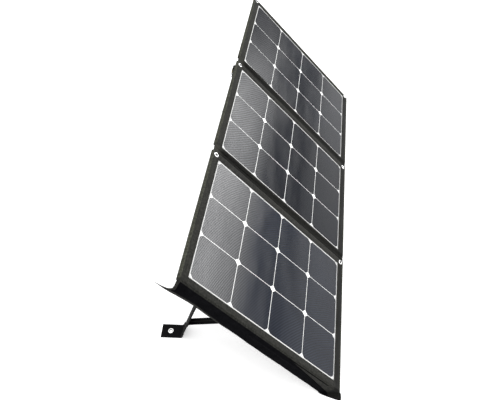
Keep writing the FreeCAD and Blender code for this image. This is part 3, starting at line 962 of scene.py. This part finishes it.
def flap_high(depth):
    """The flap's upper hem: hollow, then out past the upper edge to a pointed tail."""
    reach = FLAP_PAST / 23.0
    outline = [
        (0, -0.5), (4, -1.5), (8, -3), (20, -9), (28, -11), (33, -7),
        (36, -1), (38.5, 8 * reach), (40.5, 17 * reach), (42, 27 * reach),
    ]
    return WIDTH + between(outline, depth * 42.0 / FLAP_DEPTH)


def flap_point(depth, share, lift=0.0):
    """A point of the flap: depth behind the border's crease, share of the way up it."""
    depth = max(0.0, depth)
    low, high = flap_low(depth), flap_high(depth)
    y = low + (high - low) * share
    turn = min(1.0, depth / END_BEND)
    x = END_X - END_BEND * math.sin(turn * math.pi / 2)
    tail = smooth((y - WIDTH * 0.86) / (WIDTH * 0.15))
    free = smooth((depth - 4.0) / (FLAP_DEPTH - 4.0))
    x -= free * (0.8 + 5.5 * tail)
    x -= free * (1.3 * ripple(0, y, 74, 31.0) + 0.5 * ripple(depth, y, 27, 33.0))
    fold = smooth((y - 120) / 50) * (1.0 - smooth((y - 290) / 60))
    x -= 1.5 * fold * math.exp(-(((depth - 13.0) / 3.4) ** 2))
    ground = flap_ground(depth)
    short = max(0.0, GROUND_BEND - (y - ground))
    height = y
    if short > 0:
        angle = min(short / GROUND_BEND, math.pi / 2)
        height = ground + GROUND_BEND - GROUND_BEND * math.sin(angle)
        x -= GROUND_BEND * (1 - math.cos(angle)) + max(0.0, short - GROUND_BEND * math.pi / 2)
    spread = smooth(short / GROUND_BEND)
    normal = (-ALONG) * (1 - spread) + Vector((0, 0, 1)) * spread
    return at(x, height, -depth) + normal.normalized() * lift * MM


def flap_piece(name, top, sides, lift, material):
    """Part of the flap, up to a share of its height; sides(y) are its depths there."""
    def point(part, share):
        first, last = sides(share * WIDTH)
        return flap_point(first + (last - first) * part, share, lift)

    shares = [top * i / 110 for i in range(111)]
    points, faces = grid(steps(0.0, 1.0, 1 / 26), shares, point)
    return thick_sheet(name, points, faces, FLAP_THICK, material, -ALONG)


def flap():
    """Cloth flap that turns down off the panel's end, and the pile strip sewn on it."""
    sheet = flap_piece("flap_sheet", 1.0, lambda y: (0.0, FLAP_DEPTH), 0.0, BORDER_CLOTH)
    # A band just past the crease gets the near-black cloth: painted shade in the crease.
    sheet.data.materials.append(CREASE_SHADE_CLOTH)
    for face in sheet.data.polygons:
        away = face.center - ORIGIN
        up, deep = away.dot(UP_SLOPE) / MM, -away.dot(OUTWARD) / MM
        if 45.0 < up < 300.0 and 0.9 < deep < 4.4 and face.normal.dot(ALONG) < -0.3:
            face.material_index = 1
    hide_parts("flap_cloth")
    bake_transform(sheet)

    def strip_sides(y):
        first = 1.2
        hem = 0.8 + 7.0 * smooth((y - 260.0) / 240.0)
        cut = (FLAP_DEPTH - first) * 0.62 * max(0.0, 1.0 - y / 225.0)
        return first + cut, FLAP_DEPTH - hem

    strip = flap_piece("flap_pile_strip", 0.985, strip_sides, 1.0, STRIP_PILE)
    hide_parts("flap_strip")
    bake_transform(strip)


# ---- legs, feet and straps ----
LEG_WIDTH = flat_x("near_leg_cover")[1] - flat_x("near_leg_cover")[0]
STRAP_UP_LEG = 57.0
UP = Vector((0, 0, 1))
BEHIND = Vector((0, 1, 0))


def leg_places(side):
    pivot = Vector(joint(f"{side}_leg_stow")["pos_m"])
    foot_at = Vector(joint(f"{side}_foot_turn")["pos_m"])
    return pivot, foot_at


def foot_eye(side):
    return sum(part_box(f"{side}_foot_eyelet"), Vector()) / 2


def foot_turn(side):
    """How far the foot tab is turned about the vertical, from its eyelet's place."""
    foot_at = leg_places(side)[1]
    eye = foot_eye(side)
    return math.atan2(foot_at.x - eye.x, eye.y - foot_at.y)


def in_line(x, flat_points):
    """Row-frame points at one place along the row, from (up the slope, out) pairs."""
    line = [at(0, y, z) for y, z in flat_points]
    return [Vector((x, p.y, p.z)) for p in line]


def tape(name, line, wide, thickness, up=None, across=ALONG, rise=None):
    """Webbing along a line; rise(across, share along, point) lifts its points, in mm."""
    points = []
    for a in wide:
        for k, p in enumerate(line):
            lift = rise(a, k / (len(line) - 1), p) if rise else 0.0
            points.append(p + across * a * MM + UP * lift * MM)
    return thick_sheet(name, points, quads(len(wide), len(line)), thickness, WEBBING, up)


def rounded_section(width, thickness, count=10):
    """Points of a flat bar's section with round sides: (across, through)."""
    half, radius = width / 2 - thickness / 2, thickness / 2
    points = []
    for sign, first in ((1, -90), (-1, 90)):
        for k in range(count // 2 + 1):
            angle = math.radians(first + 180 * k / (count // 2))
            points.append((sign * half + radius * math.cos(angle), radius * math.sin(angle)))
    return points


def leg(side):
    """Flat sleeve from the pivot to the foot, with a seam along each side."""
    pivot, foot_at = leg_places(side)
    run = foot_at - pivot
    length = run.length / MM
    down = run.normalized()
    through = ALONG.cross(down)
    sections = []
    for t in [0.0, 0.004] + [0.012 + 0.976 * k / 34 for k in range(34)] + [0.988, 0.996, 1.0]:
        ends = min(t, 1 - t) * length
        fat = min(1.0, 0.45 + ends / 3.0)
        wave = 1.0 + 0.05 * ripple(t * length, 0, 30, 41.0)
        width = LEG_WIDTH * (1.0 - 0.05 * (1 - min(1.0, ends / 4)))
        centre = pivot.lerp(foot_at, t) + through * 0.4 * math.sin(math.pi * t) * MM
        across = Matrix.Rotation(foot_turn(side) * t ** 3, 3, down) @ ALONG
        out = across.cross(down)
        section = rounded_section(width, 3.6 * fat * wave)
        sections.append([centre + across * a * MM + out * b * MM for a, b in section])
    obj = sweep(f"{side}_leg_sleeve", sections, LEG_CLOTH)
    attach(obj, f"{side}_leg")
    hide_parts(f"{side}_leg_cover")
    for number, offset in enumerate((-16.0, 16.0)):
        path = []
        for t in [0.02 + 0.96 * k / 30 for k in range(31)]:
            bow = 1.85 + 0.4 * math.sin(math.pi * t)
            path.append(pivot.lerp(foot_at, t) + ALONG * offset * MM + through * bow * MM)
        stitches(f"{side}_leg_seam_{number}", path, 3.8, 2.7, 0.3, f"{side}_leg", through)


def leg_tape(side):
    """Tape hinge: sewn to the patch, round the leg's upper end and down its outer face."""
    pivot, foot_at = leg_places(side)
    down = (foot_at - pivot).normalized()
    outer = ALONG.cross(down)
    if outer.dot(OUTWARD) > 0:
        outer = -outer
    anchor = flat_y(f"{side}_leg_patch")[1] - 6.0
    pivot_y = (pivot - ORIGIN).dot(UP_SLOPE) / MM
    pivot_z = (pivot - ORIGIN).dot(OUTWARD) / MM
    spine = in_line(pivot.x, [
        (anchor, BACK - 2.0), (anchor - 9, BACK - 2.2), (pivot_y + 7.0, BACK - 2.6),
        (pivot_y + 4.0, pivot_z - 0.2),
    ])
    for reach in (5.0, 12.0, 20.0, 28.0):
        spine.append(pivot + down * reach * MM + outer * 3.0 * MM)
    obj = tape(f"{side}_tape_hinge", smooth_line(spine, 5), steps(-17.0, 17.0, 4.0), 1.0)
    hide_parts(f"{side}_leg_tape")
    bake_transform(obj)


def patch(name, node, body, open_below=False):
    """A sewn cloth patch on a panel's back, with its edges turned under."""
    low_x, high_x = flat_x(node)
    low_y, high_y = flat_y(node)

    def point(x, y):
        edge = min(x - low_x, high_x - x, y - low_y, high_y - y)
        wave = 0.25 * ripple(x, y, 16, 51.0) * smooth(edge / 4.0)
        return at(x, y, BACK - 0.7 - 1.0 * smooth(edge / 2.0) - wave)

    points, faces = grid(steps(low_x, high_x, 2.5), steps(low_y, high_y, 2.5), point)
    obj = thick_sheet(name, points, faces, PATCH_THICK, BACK_CLOTH, -OUTWARD)
    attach(obj, body)
    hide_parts(node)
    inset = 4.0
    ring = [
        (low_x + inset, low_y + inset), (low_x + inset, high_y - inset),
        (high_x - inset, high_y - inset), (high_x - inset, low_y + inset),
    ]
    if not open_below:
        ring.append(ring[0])
    path = [at(x, y, BACK - 1.85) for x, y in ring]
    stitches(f"{name}_stitches", path, 3.4, 2.5, 0.28, body, -OUTWARD)


def foot(side):
    """Foot tab: cloth flat on the ground, joined round the foot to the leg's end."""
    pivot, foot_at = leg_places(side)
    up_leg = (pivot - foot_at).normalized()
    outer = (BEHIND - up_leg * up_leg.y).normalized()
    turn = Matrix.Rotation(foot_turn(side), 3, "Z")
    across, out = turn @ ALONG, turn @ BEHIND
    eye = foot_eye(side)
    ground = Vector((foot_at.x, foot_at.y, 0))
    reach = (Vector((eye.x, eye.y, 0)) - ground).length / MM
    length = reach + 25.9
    spine = [foot_at + up_leg * d * MM + outer * off * MM for d, off in ((18, 2.0), (11, 2.0), (5, 2.1))]
    spine.append(ground + out * 4.2 * MM + UP * 2.5 * MM)
    for d in (11.0, 22.0, reach, length - 14.0, length):
        spine.append(ground + out * d * MM + UP * 2.4 * MM)

    def rise(a, share, p):
        return max(-0.2, 0.12 * ripple(a, p.y / MM, 12, 61.0))

    wide = steps(-LEG_WIDTH / 2, LEG_WIDTH / 2, 2.5)
    obj = tape(f"{side}_foot_cloth", smooth_line(spine, 5), wide, FOOT_THICK, UP, across, rise)
    punch(obj, [eye], UP, EYELET_HOLE)
    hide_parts(f"{side}_foot_tab")
    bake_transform(obj)
    ring = eyelet(f"{side}_foot_ring", Vector((eye.x, eye.y, 0)), UP, 2.45, 1.0, NICKEL, 0.92)
    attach(ring, f"{side}_foot")
    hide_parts(f"{side}_foot_eyelet")
    edge = LEG_WIDTH / 2 - 4.0
    path = []
    for a, d in ((-edge, 12.0), (-edge, length - 4.0), (edge, length - 4.0), (edge, 12.0)):
        path.append(ground + across * a * MM + out * d * MM + UP * 2.7 * MM)
    stitches(f"{side}_foot_stitches", path, 3.4, 2.5, 0.28, f"{side}_foot", UP)


def strap_sewn(side):
    """The stretch of the panel's back that the strap is sewn to, up the slope."""
    on_back = [
        v.co.dot(UP_SLOPE) for v in frame["nodes"][f"{side}_tether_strap"].data.vertices
        if v.co.dot(OUTWARD) > BACK_FACE - 0.1 * MM
    ]
    return (min(on_back) - LOW_EDGE) / MM, (max(on_back) - LOW_EDGE) / MM


def tether(side):
    """Strap from the panel's back, nearly straight, to the leg above its foot."""
    pivot, foot_at = leg_places(side)
    x = foot_at.x
    up_leg = (pivot - foot_at).normalized()
    low, high = strap_sewn(side)
    meets = foot_at + up_leg * STRAP_UP_LEG * MM
    inner = up_leg.cross(ALONG)
    if inner.y > 0:
        inner = -inner
    spine = in_line(x, [(y, BACK - 1.3) for y in (low, low + 10, high - 10, high - 3)])
    first = in_line(x, [(high, BACK - 2.4)])[0]
    last = meets + inner * 2.6 * MM
    for t in (0.0, 0.2, 0.4, 0.6, 0.8, 0.96):
        spine.append(first.lerp(last, t) - UP * 3.5 * MM * math.sin(math.pi * t))
    spine.append(last - up_leg * 3 * MM + inner * 0.2 * MM)
    spine.append(last - up_leg * 12 * MM + inner * 0.3 * MM)

    def rise(a, share, p):
        return a * 0.05 * math.sin(math.pi * share)

    line_half = 0.9
    wide = [-10.0, -7.5, -5.0, -2.5, -line_half, line_half, 2.5, 5.0, 7.5, 10.0]
    obj = tape(f"{side}_tether_webbing", smooth_line(spine, 4), wide, STRAP_THICK, UP, rise=rise)
    obj.data.materials.append(STRAP_LINE)
    for face in obj.data.polygons:
        if abs(face.center.x - x) < line_half * MM:
            face.material_index = 1
    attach(obj, BODY[side])
    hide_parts(f"{side}_tether_strap")
    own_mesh(obj)


# ---- pouch on the middle panel's back ----
ZIP_Y = sum(flat_y("zip_tape")) / 2


def hemmed_steps(low, high):
    """Places across the pouch, closer together beside its hems."""
    places = joined_steps(5.0, low, low + 6, high - 6, high)
    for k in (0.6, 1.4, 2.6, 4.2):
        places += [low + k, high - k]
    return sorted(set(places))


def pouch():
    """Flat pocket sewn down on all sides, with piping round it."""
    low_x, high_x = flat_x("cable_pouch")
    low_y, high_y = flat_y("cable_pouch")
    depth = BACK - flat_z("cable_pouch")[0]
    cx, cy = (low_x + high_x) / 2, (low_y + high_y) / 2
    half_x, half_y = (high_x - low_x) / 2, (high_y - low_y) / 2

    def point(x, y):
        u, v = abs(x - cx) / half_x, abs(y - cy) / half_y
        wall = (1 - u ** 10) * (1 - v ** 10)
        crown = 0.86 + 0.14 * (1 - u * u) * (1 - v * v)
        rise = depth * crown * max(0.0, wall) ** 0.4
        rise += (0.9 * ripple(x, y, 42, 71.0) + 0.45 * ripple(x, y, 15, 73.0)) * wall
        rise -= 0.8 * math.exp(-(((y - ZIP_Y) / 9.0) ** 2)) * (1 - u ** 6)
        return at(x, y, BACK - 0.6 - min(rise, depth + 0.8))

    points, faces = grid(hemmed_steps(low_x, high_x), hemmed_steps(low_y, high_y), point)
    obj = thick_sheet("pouch_cloth", points, faces, POUCH_THICK, BACK_CLOTH, -OUTWARD)
    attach(obj, "mid_panel")
    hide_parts("cable_pouch")

    def outward(value, centre, half):
        away = value - centre
        return math.copysign(1, away) if abs(abs(away) - half) < 0.1 else 0.0

    sections = []
    for x, y in walk([(low_x, low_y), (high_x, low_y), (high_x, high_y), (low_x, high_y)], 8.0):
        out_x, out_y = 1.3 * outward(x, cx, half_x), 1.3 * outward(y, cy, half_y)
        sections.append(
            [at(x + out_x * cos, y + out_y * cos, BACK - 1.9 - 1.2 * sin) for cos, sin in circle(8)]
        )
    piping = sweep("pouch_piping", sections, BINDING_TAPE, closed=True)
    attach(piping, "mid_panel")


def zip_line():
    """Two tapes with the coil's teeth meshed between them."""
    low_x, high_x = flat_x("zip_tape")
    z = flat_z("zip_tape")[1] + 0.2
    made = []

    def point(x, y):
        return at(x, y, z - 0.7 - 0.25 * ripple(x, y, 30, 81.0))

    for sign in (-1, 1):
        rows = sorted(ZIP_Y + sign * d for d in (0.8, 2.0, 4.0, 6.0, 7.6))
        points, faces = grid(steps(low_x, high_x, 4.0), rows, point)
        made.append(thick_sheet(f"tape_{sign}", points, faces, 0.5, BINDING_TAPE, -OUTWARD))
    pitch = 1.5
    margin = 3.0
    points, faces = [], []
    for i in range(int((high_x - low_x - 2 * margin) / pitch)):
        x = low_x + margin + (i + 0.5) * pitch
        side = 1 if i % 2 else -1
        faces += shifted(tube_faces(3, 6, False), len(points))
        for t in (-0.5, 0.0, 0.5):
            y = ZIP_Y + side * 0.35 + t * 3.0
            middle = z - 1.1 - 0.375 * (1.0 - abs(t))
            points += [at(x + 0.5 * cos, y, middle - 0.55 * sin) for cos, sin in circle(6)]
    made.append(mesh_object("teeth", points, faces, NYLON))
    obj = join("pouch_zip", made)
    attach(obj, "mid_panel")
    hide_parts("zip_tape")


# ---- hanging tab behind the upper edge ----
TAB_LEAN = 5.0


def hanging_tab():
    """Webbing that hangs behind the upper edge and leans out, with its eyelet."""
    pivot = Vector(joint("tab_swing")["pos_m"])
    low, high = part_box("hang_tab")
    half = (high.x - low.x) / 2 / MM
    x_middle = (low.x + high.x) / 2
    eye = sum(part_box("hang_eyelet"), Vector()) / 2
    spine = in_line(x_middle, [
        (WIDTH - 8.0, BACK - 2.4), (WIDTH - 2.0, BACK - 2.5), (WIDTH + 1.4, BACK - 2.7),
    ])
    back = pivot.y + 1.0 * MM
    spine.append(Vector((x_middle, back, pivot.z - 1.0 * MM)))
    for t in (0.3, 0.55, 0.8, 1.0):
        spine.append(Vector((x_middle, back + TAB_LEAN * MM * t, pivot.z + (low.z - pivot.z) * t)))
    obj = tape("hanging_tab_cloth", smooth_line(spine, 5), steps(-half, half, 1.6), 1.9, BEHIND)
    punch(obj, [eye], BEHIND, 4.5)
    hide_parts("hang_tab")
    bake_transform(obj)
    share = (pivot.z - eye.z) / (pivot.z - low.z)
    normal = Vector((0, pivot.z - low.z, TAB_LEAN * MM)).normalized()
    ring_at = Vector((eye.x, pivot.y + TAB_LEAN * MM * share, eye.z))
    ring = eyelet("hanging_tab_ring", ring_at, normal, 1.0, -1.0, BRASS, 0.82)
    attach(ring, "upper_tab")
    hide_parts("hang_eyelet")


# ---- CAD nodes that stay as they are, with better materials ----
KEPT = {
    "near_leg_strip": BOARD, "far_leg_strip": BOARD, "junction_box": MOULDED,
    "junction_lid": MOULDED, "lid_screws": TINNED, "bypass_diodes": MOULDED,
    "cable_gland": MOULDED, "zip_slider": DARK_METAL, "zip_pull": DARK_METAL,
}
for panel in PANELS:
    KEPT[f"{panel}_core_board"] = BOARD
    KEPT[f"{panel}_backsheet"] = WHITE_SHEET
    KEPT[f"{panel}_cell_links"] = TINNED
for name, material in KEPT.items():
    frame["nodes"][name].data.materials.clear()
    frame["nodes"][name].data.materials.append(material)


# ---- build ----
for panel in PANELS:
    front_cloth(panel)
    back_cloth(panel)
    edge_tape(panel)
    laminate(panel)
    panel_eyelets(panel)
    border_stitches(panel)
fold_web("near", "near", "mid")
fold_web("far", "mid", "far")
flap()
for side in ("near", "far"):
    leg(side)
    leg_tape(side)
    patch(f"{side}_leg_patch_cloth", f"{side}_leg_patch", BODY[side], open_below=True)
    foot(side)
    tether(side)
pouch()
zip_line()
patch("hang_patch_cloth", "hang_patch", "mid_panel")
hanging_tab()


# ---- floor, light and camera ----
def floor():
    sh = Shader("studio_floor")
    sh.patchy(sh.noise(1.5), (0.80, 0.80, 0.80), (0.83, 0.83, 0.83), (0.85, 0.95))
    sh.look(Emission_Color=(1, 1, 1, 1), Emission_Strength=0.5)
    radius = 2.7
    rim = [Vector((cos, sin, 0)) * radius for cos, sin in circle(80)]
    obj = mesh_object("studio_floor", rim, [list(range(len(rim)))], sh.material)


def studio_world():
    """White room, dim round the horizon, with one bright low panel of light."""
    world = bpy.data.worlds.new("studio")
    bpy.context.scene.world = world
    world.use_nodes = True
    sky = Nodes(world.node_tree)
    place = sky.make("ShaderNodeTexCoord", {})["Generated"]

    def ramp(value, low, high, first, last):
        return sky.span(value, first, last, low, high, "SMOOTHSTEP")

    height = sky.axes(place)[2]
    toward = world.node_tree.nodes.new("ShaderNodeVectorMath")
    toward.operation = "DOT_PRODUCT"
    lamp_side = (0.643, -0.766, 0.0)
    sideways = ramp(sky.feed(toward, {0: place, 1: lamp_side})["Value"], 0.93, 0.985, 0.0, 1.0)
    upward = sky.times(ramp(height, 0.015, 0.08, 0.0, 1.0), ramp(height, 0.3, 0.5, 1.0, 0.0))
    lamp = sky.times(sky.times(sideways, upward), 13.0)
    room = ramp(height, 0.0, 0.55, 0.34, 1.12)
    background = world.node_tree.nodes["Background"]
    sky.feed(background, {"Strength": sky.plus(room, lamp), "Color": (1.0, 1.0, 1.0, 1)})


def overhead_light():
    """One large lamp above the object, aimed at the middle of the floor."""
    data = bpy.data.lights.new("overhead", "AREA")
    data.shape = "RECTANGLE"
    data.size, data.size_y = 4.0, 4.0
    data.energy = 75
    lamp = new_object("overhead", data)
    lamp.location = Vector((0.2, 0.3, 3.4))
    lamp.rotation_euler = (-lamp.location).to_track_quat("-Z", "Y").to_euler()


def photo_camera():
    """The photograph's camera: its place, aim and upward direction in the row frame."""
    aim = Vector((0.70074, 0.10869, -0.70509)).normalized()
    top = Vector((0.70132, 0.07626, 0.70875))
    data = bpy.data.cameras.new("camera")
    data.sensor_width = 36.0
    data.lens = 41.4
    data.clip_end = 100
    camera = new_object("camera", data)
    camera.location = ORIGIN + Vector((-1.37076, 0.10608, 1.39118))
    right = aim.cross(top).normalized()
    camera.rotation_euler = Matrix((right, right.cross(aim), -aim)).transposed().to_euler()
    bpy.context.scene.camera = camera


floor()
studio_world()
overhead_light()
photo_camera()
bpy.context.scene.view_settings.view_transform = "Standard"
